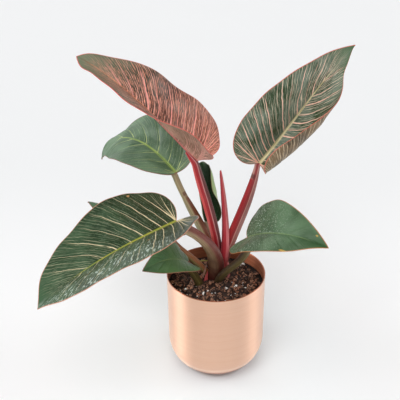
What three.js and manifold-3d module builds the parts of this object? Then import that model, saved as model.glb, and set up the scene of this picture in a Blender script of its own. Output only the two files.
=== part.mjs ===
// A potted variegated philodendron in a spun copper pot. Millimetres, with +Z up.
// The origin is the centre of the pot's flat base. The front is towards -Y, with +X to the right of it.
// Each leaf is a blade on its own stalk. The stalks rise from a short crown that stands in the soil.

import * as THREE from 'three';
import { mergeVertices } from 'three/addons/utils/BufferGeometryUtils.js';
import Module from 'manifold-3d';

const wasm = await Module();
wasm.setup();

// Driving dimensions of the pot
const potRadius = 60;
const potHeight = 133;
const potWall = 1.2;
const potCornerRadius = 41;
const potCornerSteps = 7;
const potSides = 48;
const rimRounding = 0.3;

// Driving dimensions of the soil
const soilLevel = 116;
const soilRings = 13;
const chipCount = 70;
const chipHeight = [1, 3.5];
const chipRadius = [3, 6.5];
const chipSeed = 11;

// Driving dimensions of the crown, the short thick stem that carries every stalk
const crownPlace = [1, 17];
const crownRadius = 8;
const crownFoot = 72;
const crownShoulder = 122;
const crownTop = 133;
const crownSides = 16;
// The crown's outline: each height with its share of the radius
const crownOutline = [
  [crownFoot, 0.6],
  [crownFoot + crownRadius, 1],
  [crownShoulder, 1],
  [(crownShoulder + crownTop) / 2, 0.8],
  [crownTop - 1, 0.4],
];

// Pieces that touch keep this gap. Details finer than the smallest one are left out of a cut.
// Two heights closer than nearly are the same, and so are two corners closer than sameCorner.
const gap = 0.3;
const smallestDetail = 0.02;
const nearly = 0.01;
const sameCorner = 1e-4;

// Every blade: its thickness, the depth of the rib under it, and how its veins run
const bladeThickness = 0.8;
const ribDepth = 2.2;
const ribTipDepth = 0.3;
const fanShare = 0.3;      // share of the outline whose veins all start at the foot
const veinCrowding = 1.1;  // above 1, the vein roots crowd towards the foot
const veinSweep = 1.25;    // above 1, a vein bends towards the tip as it nears the edge
const lobeFade = 4;        // how fast the lobe's backward sweep fades along the outline
const bigGrid = { fanRows: 6, ribRows: 14, columns: [0, 0.07, 0.28, 0.52, 0.77, 1] };
const smallGrid = { fanRows: 4, ribRows: 10, columns: [0, 0.1, 0.38, 0.7, 1] };
const midribSteps = 240;

// Every stalk and scale
const stalkSides = 10;
const stalkSteps = 11;
const spearSteps = 18;
const scaleSides = 8;
const scaleSteps = 7;
const stalkTaper = 1.5;    // above 1, a stalk thins quickly above its foot
const sheathFullness = 5;  // how evenly wide a sheath's wings stay before they end
const scaleTaper = 0.85;   // how much of a scale's width is gone at its tip
const domeHeight = 0.6;    // height of a stalk's rounded top, as a share of its radius
const domeShare = 0.45;    // width of that top's last ring, as a share of the one below

// The leaves, with the tallest first.
// foot: where the blade meets its stalk. length and width: of the blade laid flat, the width of each half.
// heading: the rib's compass angle from +X, at the foot and at the tip. slope: its climb at the same places.
// roll: how far the blade's left side is lifted. bend: above 1, the rib turns mostly near the tip.
// point: how sharply the outline runs to its tip. lobe: how far each half sweeps back behind the foot.
// fold: how far each half rises from the rib, at the foot and at the tip.
// curl: how far it turns by its edge, at the same places.
// wave: the height of the edge's waves, how many there are, and the angle that they start at.
// stalk: the points that pull its curve up to the foot, its radii, how far its winged sheath climbs it,
// and how much that widens it.
const leaves = [
  {
    name: 'pink', grid: bigGrid, colour: 0xb5766a, stalkColour: 0xb0354a,
    foot: [-21, 0, 282.5], length: 172, heading: [174, 164], slope: [47, 21], roll: [-13, -24],
    bend: 2.7, point: 0.85,
    left: { width: 62.5, lobe: 11.5, fold: [74, 7], curl: [-44, 56], wave: [5.9, 2.64, 139] },
    right: { width: 56, lobe: 19, fold: [29, 26], curl: [-8, -65], wave: [2.2, 3.75, 7] },
    stalk: {
      route: [[3, 16, 130], [4, 11, 181], [-13, 5, 232]],
      footRadius: 3.6, neckRadius: 4.2, sheath: 0.97, wings: 0.48,
    },
  },
  {
    name: 'striped', grid: bigGrid, colour: 0x5f6f55, stalkColour: 0x9b4048,
    foot: [47.5, -5, 281.5], length: 169, heading: [15, 41], slope: [50, 26], roll: [88, 124],
    bend: 2.7, point: 1,
    left: { width: 56.5, lobe: 15, fold: [30, -25], curl: [-38, -27], wave: [0, 2, 0] },
    right: { width: 57.5, lobe: 7, fold: [50, -23], curl: [157, 243], wave: [5, 2.1, 165] },
    stalk: {
      route: [[6, 18, 126], [15, 10, 176], [39, 2, 225]],
      footRadius: 3.6, neckRadius: 3.4, sheath: 0.95, wings: 0.95,
    },
  },
  {
    name: 'left', grid: bigGrid, colour: 0x5c7f63, stalkColour: 0x8d8560,
    foot: [-48, 35, 249.5], length: 149, heading: [139, 149], slope: [33, -79], roll: [-11, -30],
    bend: 1.7, point: 0.8,
    left: { width: 44.5, lobe: 5, fold: [37, -14], curl: [-20, -26], wave: [1.5, 2.6, 65] },
    right: { width: 41.5, lobe: 8, fold: [36, -11], curl: [6, -24], wave: [5, 2.8, -45] },
    stalk: {
      route: [[-4, 22, 123], [-1, 22, 167], [-35, 30, 204]],
      footRadius: 4, neckRadius: 3.8, sheath: 0.78, wings: 0.6,
    },
  },
  {
    name: 'front', grid: bigGrid, colour: 0x435f48, stalkColour: 0x8c7355,
    foot: [-44, -30, 221], length: 177, heading: [217, 212], slope: [-5, -36], roll: [2, -8],
    bend: 1.8, point: 0.65,
    left: { width: 53.5, lobe: 22, fold: [33, 25], curl: [-26, -32], wave: [2.5, 2.6, -55] },
    right: { width: 55.5, lobe: 16, fold: [32, 28], curl: [10, 11], wave: [2.5, 3, -10] },
    stalk: {
      route: [[-5, 12, 111], [12, -1, 153], [-11, -14, 194]],
      footRadius: 7.6, neckRadius: 5.8, sheath: 0.66, wings: 0.3,
    },
  },
  {
    name: 'right', grid: smallGrid, colour: 0x557a5c, stalkColour: 0x6e6240,
    foot: [36, -30, 199.5], length: 122, heading: [-53, -43], slope: [40, -1], roll: [23, 43],
    bend: 1, point: 0.85,
    left: { width: 39, lobe: 16, fold: [19, 38], curl: [4, 2], wave: [1.5, 2.3, -45] },
    right: { width: 35.5, lobe: 16, fold: [20, 34], curl: [-21, -26], wave: [2, 2.5, 35] },
    stalk: {
      route: [[2, 6, 111], [4, -6, 140], [37, -21, 159]],
      footRadius: 4.9, neckRadius: 4.5, sheath: 0.3, wings: 0.1,
    },
  },
  {
    name: 'back', grid: smallGrid, colour: 0x33492f, stalkColour: 0xa39a78,
    foot: [-10, 30, 187.5], length: 107, heading: [94, 97], slope: [17, 17], roll: [28, 5],
    bend: 1.5, point: 0.75,
    left: { width: 32, lobe: 16, fold: [36, 48], curl: [22, 24], wave: [1, 2.2, -10] },
    right: { width: 36.5, lobe: 13, fold: [35, 50], curl: [120, 112], wave: [3, 2.7, -80] },
    stalk: {
      route: [[1, 25, 116], [2, 30, 140], [-5, 29, 164]],
      footRadius: 3.4, neckRadius: 3, sheath: 0.4, wings: 0.2,
    },
  },
  {
    name: 'left_back', grid: smallGrid, colour: 0x4d6a48, stalkColour: 0x7a6438,
    foot: [-55.5, 26, 168], length: 123, heading: [155, 154], slope: [12, 4], roll: [11, 11],
    bend: 1.4, point: 0.8,
    left: { width: 34, lobe: 19, fold: [8, -2], curl: [4, 3], wave: [0.5, 2.2, 0] },
    right: { width: 34, lobe: 19, fold: [7, -3], curl: [-2, 1], wave: [1, 2.2, 0] },
    stalk: {
      route: [[-7, 14, 111], [-17, 19, 133], [-42, 21, 145]],
      footRadius: 4.4, neckRadius: 4, sheath: 0.75, wings: 0.2,
    },
  },
  {
    name: 'low', grid: smallGrid, colour: 0x4c7249, stalkColour: 0x5b5428,
    foot: [-33.5, -12, 154.5], length: 75, heading: [229, 223], slope: [41, -14], roll: [-18, -63],
    bend: 1.3, point: 0.75,
    left: { width: 23, lobe: 13, fold: [13, 20], curl: [2, -8], wave: [1.5, 2.4, 10] },
    right: { width: 22.5, lobe: 12, fold: [10, 24], curl: [1, 26], wave: [0, 2, 0] },
    stalk: {
      route: [[-20, -2, 108], [-20, -5, 125], [-29, -9, 139]],
      footRadius: 5, neckRadius: 4.2, sheath: 0.6, wings: 0.1,
    },
  },
];

// The youngest leaf is still rolled up in a spear
const spear = {
  route: [[7, 12, 126], [15, 7, 175], [10, 1, 223], [5, -4, 272.5]],
  radius: 5.6,
  tipRadius: 0.5,
  colour: 0x8e2b3c,
};

// Dry scales left round the crown by older leaves: flat strips, wide at the foot and drawn to a point
const scales = [
  {
    name: 'scale_front', colour: 0x9c4340, halfWidth: 2.6, halfThickness: 0.6, facing: [0, -1, 0],
    route: [[-13, 3, 111], [-13, 2, 118], [-12, 3, 124], [-10, 5, 130]],
  },
  {
    name: 'scale_side', colour: 0xb06a6c, halfWidth: 3.4, halfThickness: 0.6, facing: [1, -0.6, 0],
    route: [[15, 10, 111], [17, 9, 124], [16, 10, 135], [12, 14, 146]],
  },
  {
    name: 'scale_curled', colour: 0x8f6a52, halfWidth: 2.4, halfThickness: 0.6, facing: [-1, -0.3, 0],
    route: [[-18, 10, 111], [-17, 8, 122], [-11, 3, 134], [-12, 1, 147]],
  },
];

// The finish of each material
const finishes = {
  copper: { roughness: 0.35, metalness: 1 },
  blade: { roughness: 0.35, metalness: 0 },
  stalk: { roughness: 0.4, metalness: 0 },
  husk: { roughness: 0.7, metalness: 0 },
  soil: { roughness: 0.95, metalness: 0 },
};

const towardsFront = new THREE.Vector3(0, -1, 0);
const degree = Math.PI / 180;
const mix = (pair, share) => pair[0] + (pair[1] - pair[0]) * share;
const clampShare = (value) => Math.min(Math.max(value, 0), 1);

// The largest value that a curve reaches between 0 and 1, which scales the outline's formulas
function peakOf(shape) {
  const steps = 200;
  let peak = 0;
  for (let step = 0; step <= steps; step += 1) peak = Math.max(peak, shape(step / steps));
  return peak;
}

// One half of a flat blade's outline. share runs from 0 at the foot, round the lobe, to 1 at the tip.
// across is a sine drawn to a point. along is a cosine, and the lobe pulls it back behind the foot.
function outlineOf(leaf, half) {
  const taperedSine = (share) => Math.sin(Math.PI * share) * (1 - share) ** leaf.point;
  const lobeSweep = (share) => Math.sin(Math.PI * share) * (1 - share) ** lobeFade;
  const acrossScale = half.width / peakOf(taperedSine);
  const lobeScale = half.lobe / peakOf(lobeSweep);
  return (share) => ({
    across: acrossScale * taperedSine(share),
    along: (leaf.length * (1 - Math.cos(Math.PI * share))) / 2 - lobeScale * lobeSweep(share),
  });
}

// The rib's direction, and the blade's left side and upper face there, at a share of its length
function ribFrame(leaf, share) {
  const heading = mix(leaf.heading, share) * degree;
  const slope = mix(leaf.slope, share ** leaf.bend) * degree;
  const roll = mix(leaf.roll, share) * degree;
  const forward = new THREE.Vector3(
    Math.cos(slope) * Math.cos(heading),
    Math.cos(slope) * Math.sin(heading),
    Math.sin(slope),
  );
  const level = new THREE.Vector3(-Math.sin(heading), Math.cos(heading), 0);
  const left = level.clone().applyAxisAngle(forward, roll);
  const up = new THREE.Vector3().crossVectors(forward, left);
  return { forward, left, up };
}

// The rib's places, found by adding up short steps along its direction
function ribPlaces(leaf) {
  const places = [new THREE.Vector3(...leaf.foot)];
  const stepLength = leaf.length / midribSteps;
  for (let step = 0; step < midribSteps; step += 1) {
    const { forward } = ribFrame(leaf, (step + 0.5) / midribSteps);
    places.push(places[step].clone().addScaledVector(forward, stepLength));
  }
  return places;
}

// The rib's place at a distance along it, going straight on behind the foot
function ribPlace(leaf, places, along) {
  const share = clampShare(along / leaf.length);
  const step = Math.min(Math.floor(share * midribSteps), midribSteps - 1);
  const place = places[step].clone().lerp(places[step + 1], share * midribSteps - step);
  return place.addScaledVector(ribFrame(leaf, share).forward, Math.min(along, 0));
}

// A point of one half of the blade, on the vein that ends at outlineShare, at veinShare of its way out.
// The section across the rib is an arc that leaves it at the fold and turns by the curl.
function bladePoint(leaf, places, half, side, outline, outlineShare, veinShare, offset, ribOffset) {
  const edge = outline(outlineShare);
  const rootShare = clampShare((outlineShare - fanShare) / (1 - fanShare)) ** veinCrowding;
  const root = leaf.length * rootShare;
  const across = edge.across * veinShare;
  const along = root + (edge.along - root) * veinShare ** veinSweep;
  const share = clampShare(along / leaf.length);
  const { left, up } = ribFrame(leaf, share);
  const fold = mix(half.fold, share) * degree;
  const turn = (mix(half.curl, share) * degree) / half.width;
  const angle = fold + turn * across;
  const [waveHeight, waveCount, waveStart] = half.wave;
  const waveAngle = waveCount * 2 * Math.PI * outlineShare + waveStart * degree;
  const wave = waveHeight * Math.sin(waveAngle) * veinShare ** 2 * Math.sin(Math.PI * outlineShare);
  const sideways = (Math.sin(angle) - Math.sin(fold)) / turn;
  const rise = (Math.cos(fold) - Math.cos(angle)) / turn + wave;
  const onRib = veinShare === 0 || outlineShare === 0 || outlineShare === 1;
  const faceAngle = onRib ? 0 : angle;
  const lift = onRib ? ribOffset(share) : offset;
  return ribPlace(leaf, places, along)
    .addScaledVector(left, side * (sideways - lift * Math.sin(faceAngle)))
    .addScaledVector(up, rise + lift * Math.cos(faceAngle));
}

// A closed blade: an upper face, a lower face with the same triangles, and the wall round its edge
function bladeGeometry(leaf, extra) {
  const { fanRows, ribRows, columns } = leaf.grid;
  const rows = [];
  for (let row = 0; row < fanRows; row += 1) rows.push((fanShare * row) / fanRows);
  for (let row = 0; row <= ribRows; row += 1) rows.push(fanShare + ((1 - fanShare) * row) / ribRows);
  const places = ribPlaces(leaf);
  const halfThickness = bladeThickness / 2 + extra;
  const corners = [];
  const triangle = (a, b, c) => {
    if (a.equals(b) || b.equals(c) || c.equals(a)) return;
    corners.push(...a.toArray(), ...b.toArray(), ...c.toArray());
  };
  const quad = (a, b, c, d) => {
    triangle(a, b, c);
    triangle(a, c, d);
  };
  for (const side of [1, -1]) {
    const half = side === 1 ? leaf.left : leaf.right;
    const outline = outlineOf(leaf, half);
    const facePoints = (offset, ribOffset) => rows.map((outlineShare) => columns.map((veinShare) => (
      bladePoint(leaf, places, half, side, outline, outlineShare, veinShare, offset, ribOffset)
    )));
    const upper = facePoints(halfThickness, () => halfThickness);
    const underRib = (share) => -halfThickness - mix([ribDepth, ribTipDepth], share);
    const lower = facePoints(-halfThickness, underRib);
    for (let row = 0; row < rows.length - 1; row += 1) {
      for (let column = 0; column < columns.length - 1; column += 1) {
        const ring = [[row, column], [row + 1, column], [row + 1, column + 1], [row, column + 1]];
        const top = ring.map(([r, c]) => upper[r][c]);
        const bottom = ring.map(([r, c]) => lower[r][c]);
        if (side === 1) {
          quad(...top);
          quad(bottom[0], bottom[3], bottom[2], bottom[1]);
        } else {
          quad(top[0], top[3], top[2], top[1]);
          quad(...bottom);
        }
      }
      const last = columns.length - 1;
      const wall = [upper[row][last], upper[row + 1][last], lower[row + 1][last], lower[row][last]];
      if (side === 1) quad(...wall);
      else quad(wall[3], wall[2], wall[1], wall[0]);
    }
  }
  return geometryOf(corners);
}

// A mesh of a list of triangle corners
function geometryOf(corners) {
  const geometry = new THREE.BufferGeometry();
  geometry.setAttribute('position', new THREE.Float32BufferAttribute(corners, 3));
  return mergeVertices(geometry, sameCorner);
}

// A closed tube along a curve. section gives the two half widths at a share of its length:
// across the way it leans, and along it. extra thickens it all round.
function tubeGeometry(curve, facing, sides, steps, section, extra, topLift) {
  const rings = [];
  for (let step = 0; step <= steps; step += 1) {
    const share = step / steps;
    rings.push({ share, centre: curve.getPoint(share), size: 1 });
  }
  const end = rings[steps];
  const topDirection = curve.getTangent(1);
  end.centre.addScaledVector(topDirection, -topLift);
  const capCentre = end.centre.clone().addScaledVector(topDirection, topLift);
  rings.push({ share: 1, centre: capCentre, size: domeShare });
  const points = rings.map(({ share, centre, size }) => {
    const direction = curve.getTangent(share);
    const acrossAxis = new THREE.Vector3().crossVectors(direction, facing).normalize();
    const leanAxis = new THREE.Vector3().crossVectors(acrossAxis, direction);
    const [acrossSize, leanSize] = section(share);
    const ring = [];
    for (let corner = 0; corner < sides; corner += 1) {
      const angle = (2 * Math.PI * corner) / sides;
      ring.push(centre.clone()
        .addScaledVector(acrossAxis, (acrossSize + extra) * size * Math.cos(angle))
        .addScaledVector(leanAxis, (leanSize + extra) * size * Math.sin(angle)));
    }
    return ring;
  });
  const corners = [];
  const triangle = (a, b, c) => corners.push(...a.toArray(), ...b.toArray(), ...c.toArray());
  const footCentre = rings[0].centre;
  const topCentre = rings[rings.length - 1].centre;
  for (let corner = 0; corner < sides; corner += 1) {
    const next = (corner + 1) % sides;
    triangle(footCentre, points[0][corner], points[0][next]);
    for (let ring = 0; ring < points.length - 1; ring += 1) {
      triangle(points[ring][corner], points[ring + 1][corner], points[ring + 1][next]);
      triangle(points[ring][corner], points[ring + 1][next], points[ring][next]);
    }
    triangle(points[points.length - 1][next], points[points.length - 1][corner], topCentre);
  }
  return geometryOf(corners);
}

// The smooth curve that four points pull into shape
function curveOf(route) {
  return new THREE.CubicBezierCurve3(...route.map((point) => new THREE.Vector3(...point)));
}

// A leaf's stalk: round above, and widened below by its sheath, whose wings open towards the front
function stalkGeometry(leaf, extra) {
  const { route, footRadius, neckRadius, sheath, wings } = leaf.stalk;
  const curve = curveOf([...route, leaf.foot]);
  const section = (share) => {
    const radius = neckRadius + (footRadius - neckRadius) * (1 - share) ** stalkTaper;
    const wing = wings * Math.max(1 - (share / sheath) ** sheathFullness, 0);
    return [radius * (1 + wing), radius];
  };
  return tubeGeometry(curve, towardsFront, stalkSides, stalkSteps, section, extra, domeHeight * neckRadius);
}

// The rolled leaf, thinning to its tip
function spearGeometry(extra) {
  const curve = curveOf(spear.route);
  const section = (share) => {
    const radius = spear.tipRadius + (spear.radius - spear.tipRadius) * Math.sqrt(1 - share);
    return [radius, radius];
  };
  return tubeGeometry(curve, towardsFront, stalkSides, spearSteps, section, extra, spear.tipRadius);
}

// A dry scale, flat and narrowing to its tip
function scaleGeometry(scale, extra) {
  const curve = curveOf(scale.route);
  const section = (share) => [
    scale.halfWidth * (1 - scaleTaper * share ** 2),
    scale.halfThickness,
  ];
  const facing = new THREE.Vector3(...scale.facing);
  return tubeGeometry(curve, facing, scaleSides, scaleSteps, section, extra, scale.halfThickness);
}

// The crown, made larger all round by extra
function crownGeometry(extra) {
  const foot = new THREE.Vector2(0, crownFoot - extra);
  const shoulders = crownOutline.map(([height, share]) => {
    const below = height <= crownFoot;
    return new THREE.Vector2((crownRadius + extra) * share, below ? height - extra : height + extra);
  });
  const top = new THREE.Vector2(0, crownTop + extra);
  const geometry = new THREE.LatheGeometry([foot, ...shoulders, top], crownSides);
  return geometry.rotateX(Math.PI / 2).translate(crownPlace[0], crownPlace[1], 0);
}

// The pot's outline from the axis, out along the base, round the corner and up the wall, inset by an amount
function potOutline(inset, top) {
  const radius = potRadius - inset;
  const corner = potCornerRadius - inset;
  const centre = potRadius - potCornerRadius;
  const points = [new THREE.Vector2(0, inset)];
  for (let step = 0; step <= potCornerSteps; step += 1) {
    const angle = (Math.PI / 2) * (step / potCornerSteps);
    const out = centre + corner * Math.sin(angle);
    const height = potCornerRadius - corner * Math.cos(angle);
    points.push(new THREE.Vector2(out, height));
  }
  points.push(new THREE.Vector2(radius, top));
  return points;
}

// The pot: one thin wall, closed over the rim
function potGeometry() {
  const outside = potOutline(0, potHeight - rimRounding);
  const inside = potOutline(potWall, potHeight - rimRounding).reverse();
  const rim = [
    new THREE.Vector2(potRadius - rimRounding, potHeight),
    new THREE.Vector2(potRadius - potWall + rimRounding, potHeight),
  ];
  return new THREE.LatheGeometry([...outside, ...rim, ...inside], potSides).rotateX(Math.PI / 2);
}

// A repeatable stream of numbers between 0 and 1
function seededNumbers(seed) {
  let state = seed;
  return () => {
    state = (state * 1664525 + 1013904223) % 4294967296;
    return state / 4294967296;
  };
}

// Bark chips and white grains, as round-topped lumps scattered evenly over the soil
function soilLumps() {
  const random = seededNumbers(chipSeed);
  const lumps = [];
  for (let chip = 0; chip < chipCount; chip += 1) {
    const angle = 2 * Math.PI * random();
    const distance = (potRadius - chipRadius[1]) * Math.sqrt(random());
    lumps.push({
      x: distance * Math.cos(angle),
      y: distance * Math.sin(angle),
      height: mix(chipHeight, random()),
      radius: mix(chipRadius, random()),
    });
  }
  return lumps;
}

// The soil fills the pot, and its top is raised by the lumps
function soilGeometry() {
  const lumps = soilLumps();
  const reliefAt = (x, y) => lumps.reduce((tallest, lump) => {
    const reach = ((x - lump.x) ** 2 + (y - lump.y) ** 2) / lump.radius ** 2;
    return Math.max(tallest, lump.height * Math.exp(-reach));
  }, 0);
  const wallRadius = potRadius - potWall - gap;
  const profile = potOutline(potWall + gap, soilLevel);
  for (let ring = soilRings - 1; ring >= 0; ring -= 1) {
    profile.push(new THREE.Vector2((wallRadius * ring) / soilRings, soilLevel));
  }
  const geometry = new THREE.LatheGeometry(profile, potSides).rotateX(Math.PI / 2);
  const position = geometry.getAttribute('position');
  for (let index = 0; index < position.count; index += 1) {
    const x = position.getX(index);
    const y = position.getY(index);
    const onTop = position.getZ(index) > soilLevel - nearly && Math.hypot(x, y) < wallRadius - nearly;
    if (onTop) position.setZ(index, soilLevel + reliefAt(x, y));
  }
  return geometry;
}

// A closed solid of a mesh, for cutting one piece by another
function solidOf(geometry) {
  const bare = new THREE.BufferGeometry();
  bare.setAttribute('position', geometry.getAttribute('position').clone());
  if (geometry.index) bare.setIndex(geometry.index.clone());
  const merged = mergeVertices(bare, sameCorner);
  const index = merged.index.array;
  const kept = [];
  for (let corner = 0; corner < index.length; corner += 3) {
    const [a, b, c] = [index[corner], index[corner + 1], index[corner + 2]];
    if (a !== b && b !== c && c !== a) kept.push(a, b, c);
  }
  return new wasm.Manifold(new wasm.Mesh({
    numProp: 3,
    vertProperties: new Float32Array(merged.getAttribute('position').array),
    triVerts: new Uint32Array(kept),
  }));
}

// A mesh of a closed solid
function geometryOfSolid(solid) {
  const mesh = solid.getMesh();
  const geometry = new THREE.BufferGeometry();
  geometry.setAttribute('position', new THREE.BufferAttribute(mesh.vertProperties, 3));
  geometry.setIndex(new THREE.BufferAttribute(mesh.triVerts, 1));
  return geometry;
}

// Cuts a piece by its neighbours, and keeps the largest part that is left
function cutBy(piece, neighbours) {
  let rest = piece;
  for (const neighbour of neighbours) rest = rest.subtract(neighbour);
  const parts = rest.decompose();
  const largest = parts.reduce((best, part) => (part.volume() > best.volume() ? part : best));
  return largest.asOriginal().simplify(smallestDetail);
}

// The space that a blade takes at its foot, with the gap round it
function bladeSpace(leaf) {
  const thick = solidOf(bladeGeometry(leaf, gap));
  const { forward } = ribFrame(leaf, 0);
  const back = forward.multiplyScalar(-gap);
  return thick.add(thick.translate(back.toArray()));
}

const plant = new THREE.Group();

// Adds one named piece to the plant
function addPiece(name, geometry, color, finish) {
  const material = new THREE.MeshStandardMaterial({ color, ...finish, flatShading: true });
  const mesh = new THREE.Mesh(geometry, material);
  mesh.name = name;
  plant.add(mesh);
}

addPiece('pot', potGeometry(), 0xd9a98a, finishes.copper);
addPiece('crown', crownGeometry(0), 0x5a2a26, finishes.stalk);

// Each stalk is cut by its blade and by every stalk that was placed before it, the front ones first
const cutOrder = ['front', 'right', 'low', 'left_back', 'spear', 'pink', 'striped', 'left', 'back'];
const spaces = [solidOf(crownGeometry(gap))];
for (const name of cutOrder) {
  const leaf = leaves.find((candidate) => candidate.name === name);
  const shape = (extra) => solidOf(leaf ? stalkGeometry(leaf, extra) : spearGeometry(extra));
  const neighbours = leaf ? [...spaces, bladeSpace(leaf)] : spaces;
  const title = leaf ? `stalk_${name}` : name;
  const colour = leaf ? leaf.stalkColour : spear.colour;
  addPiece(title, geometryOfSolid(cutBy(shape(0), neighbours)), colour, finishes.stalk);
  spaces.push(shape(gap));
}

for (const scale of scales) {
  const strip = cutBy(solidOf(scaleGeometry(scale, 0)), spaces);
  addPiece(scale.name, geometryOfSolid(strip), scale.colour, finishes.husk);
  spaces.push(solidOf(scaleGeometry(scale, gap)));
}

for (const leaf of leaves) {
  addPiece(`leaf_${leaf.name}`, bladeGeometry(leaf, 0), leaf.colour, finishes.blade);
}

// The stems stand in plain holes in the soil
const soil = cutBy(solidOf(soilGeometry()), spaces);
addPiece('soil', geometryOfSolid(soil), 0x4a332a, finishes.soil);

export default plant;
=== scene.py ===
# %% [markdown]
# # A potted philodendron with pink and cream leaves
# The plant has a few broad blades, each on its own stalk, and all the stalks rise from one short crown.
# A leaf like this could be sculpted by hand, but a formula keeps all of them alike and easy to change.
# So every piece here is a surface of two parameters, worked out with numpy and dressed with a shader.

# %% Load the solids
import math
from types import SimpleNamespace

import bmesh
import bpy
import numpy as np
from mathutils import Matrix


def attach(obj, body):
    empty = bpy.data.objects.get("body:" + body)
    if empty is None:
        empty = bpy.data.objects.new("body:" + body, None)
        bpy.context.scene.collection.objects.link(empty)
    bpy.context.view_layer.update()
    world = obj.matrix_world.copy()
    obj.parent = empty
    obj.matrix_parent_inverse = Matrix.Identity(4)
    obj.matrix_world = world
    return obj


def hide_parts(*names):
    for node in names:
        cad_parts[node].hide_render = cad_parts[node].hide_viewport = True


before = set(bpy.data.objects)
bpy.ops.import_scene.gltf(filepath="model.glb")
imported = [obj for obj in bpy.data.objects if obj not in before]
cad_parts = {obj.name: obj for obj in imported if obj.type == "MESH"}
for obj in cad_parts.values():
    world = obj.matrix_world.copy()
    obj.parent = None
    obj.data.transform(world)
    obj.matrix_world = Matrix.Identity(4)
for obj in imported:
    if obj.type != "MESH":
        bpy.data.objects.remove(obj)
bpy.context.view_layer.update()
millimetre = 0.001
print("solid nodes:", len(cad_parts))

# %% [markdown]
# ## The camera
# The photograph looks down on the pot from in front. Its place was worked out from the pot's round rim
# and its upright walls. A small sideways shift of the lens puts the pot to the right of the middle.

# %% Make the camera
camera_place = (0, -656 * millimetre, 587 * millimetre)
camera_dip = 28.4
camera_data = bpy.data.cameras.new("camera")
camera_data.sensor_width = 36
camera_data.lens = 58.5
camera_data.shift_x = -0.04
camera = bpy.data.objects.new("camera", camera_data)
camera.location = camera_place
camera.rotation_euler = (math.radians(90 - camera_dip), 0, 0)
bpy.context.scene.collection.objects.link(camera)
bpy.context.scene.camera = camera
bpy.context.scene.view_settings.view_transform = "Standard"
print("camera", camera_dip, "degrees down")

# %% [markdown]
# ## A helper for shader maths
# Node trees are hard to read as code. A small class wraps a socket, so that arithmetic on it adds the nodes.
# Colours go through Mix nodes, because a Math node would turn them grey.


# %% Wrap a shader socket
class Wire:
    """A shader socket. Arithmetic on it adds Math nodes, and node() adds any other kind."""

    def __init__(self, tree, socket=None):
        self.tree = tree
        self.socket = socket

    def node(self, kind, settings=None, inputs=None, output=0):
        """Adds a node of a kind. Its settings come first, then the values or links of its sockets."""
        made = self.tree.nodes.new(kind)
        for name, value in (settings or {}).items():
            setattr(made, name, value)
        for key, value in (inputs or {}).items():
            if isinstance(value, Wire):
                self.tree.links.new(value.socket, made.inputs[key])
            else:
                made.inputs[key].default_value = value
        return Wire(self.tree, made.outputs[output])

    def math(self, operation, *values):
        """One Math node on one or two values, which are sockets or numbers."""
        return self.node("ShaderNodeMath", {"operation": operation}, dict(enumerate(values)))

    def __add__(self, other):
        """This value plus another."""
        return self.math("ADD", self, other)

    __radd__ = __add__

    def __sub__(self, other):
        """This value less another."""
        return self.math("SUBTRACT", self, other)

    def __rsub__(self, other):
        """Another value less this one."""
        return self.math("SUBTRACT", other, self)

    def __mul__(self, other):
        """This value times another."""
        return self.math("MULTIPLY", self, other)

    __rmul__ = __mul__

    def __truediv__(self, other):
        """This value over another."""
        return self.math("DIVIDE", self, other)

    def __abs__(self):
        """This value without its sign."""
        return self.math("ABSOLUTE", self)

    def larger(self, other):
        """The larger of this value and another."""
        return self.math("MAXIMUM", self, other)

    def step(self, low, high):
        """0 below low and 1 above high, with a smooth rise between. The two may be swapped for a fall."""
        settings = {"interpolation_type": "SMOOTHSTEP"}
        return self.node("ShaderNodeMapRange", settings, {0: self, 1: low, 2: high})

    def parts(self):
        """The three numbers of a vector."""
        split = self.node("ShaderNodeSeparateXYZ", None, {0: self}).socket.node
        return [Wire(self.tree, output) for output in split.outputs]

    def vector(self, x, y, z):
        """A vector of three numbers or sockets."""
        return self.node("ShaderNodeCombineXYZ", None, {0: x, 1: y, 2: z})

    def from_axis(self):
        """How far a place is from the upright axis: the root of across squared plus along squared."""
        across, along, _ = self.parts()
        return self.math("SQRT", across * across + along * along)

    def blend(self, first, second):
        """The colour first where this is 0, and second where it is 1."""
        inputs = {0: self, 6: paint(first), 7: paint(second)}
        return self.node("ShaderNodeMix", {"data_type": "RGBA"}, inputs, output=2)

    def place(self):
        """Where the shaded point lies in the piece's own space, in metres."""
        return self.node("ShaderNodeTexCoord", output=3)

    def attribute(self, name, output=2):
        """A value that the mesh carries at each point: output 2 for a number and 1 for a vector."""
        return self.node("ShaderNodeAttribute", {"attribute_name": name}, output=output)

    def noise(self, place, scale=1, detail=2, roughness=0.5):
        """A soft random value from 0 to 1, around a half."""
        inputs = {"Vector": place, "Scale": scale, "Detail": detail, "Roughness": roughness}
        return self.node("ShaderNodeTexNoise", None, inputs)

    def scaled(self, x, y, z):
        """This vector, stretched along each axis."""
        return self.node("ShaderNodeVectorMath", {"operation": "MULTIPLY"}, {0: self, 1: (x, y, z)})


print("a wire has", len(vars(Wire)), "parts")


# %% Mix colours and end a material
def paint(colour):
    """A colour as a screen shows it, from 0 to 255, in the shader's linear light. A socket stays as it is."""
    if isinstance(colour, Wire):
        return colour
    screen = np.array(colour) / 255
    linear = np.where(screen <= 0.04045, screen / 12.92, ((screen + 0.055) / 1.055) ** 2.4)
    return (*linear.tolist(), 1.0)


def overlay(colour, *layers):
    """Lays colours over a first one, in turn. Each layer is how strongly it shows and its colour."""
    for strength, tint in layers:
        colour = strength.blend(colour, tint)
    return colour


def start_material(name):
    """An empty material, with a Wire to build it from."""
    material = bpy.data.materials.new(name)
    material.use_nodes = True
    material.node_tree.nodes.clear()
    return material, Wire(material.node_tree)


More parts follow.
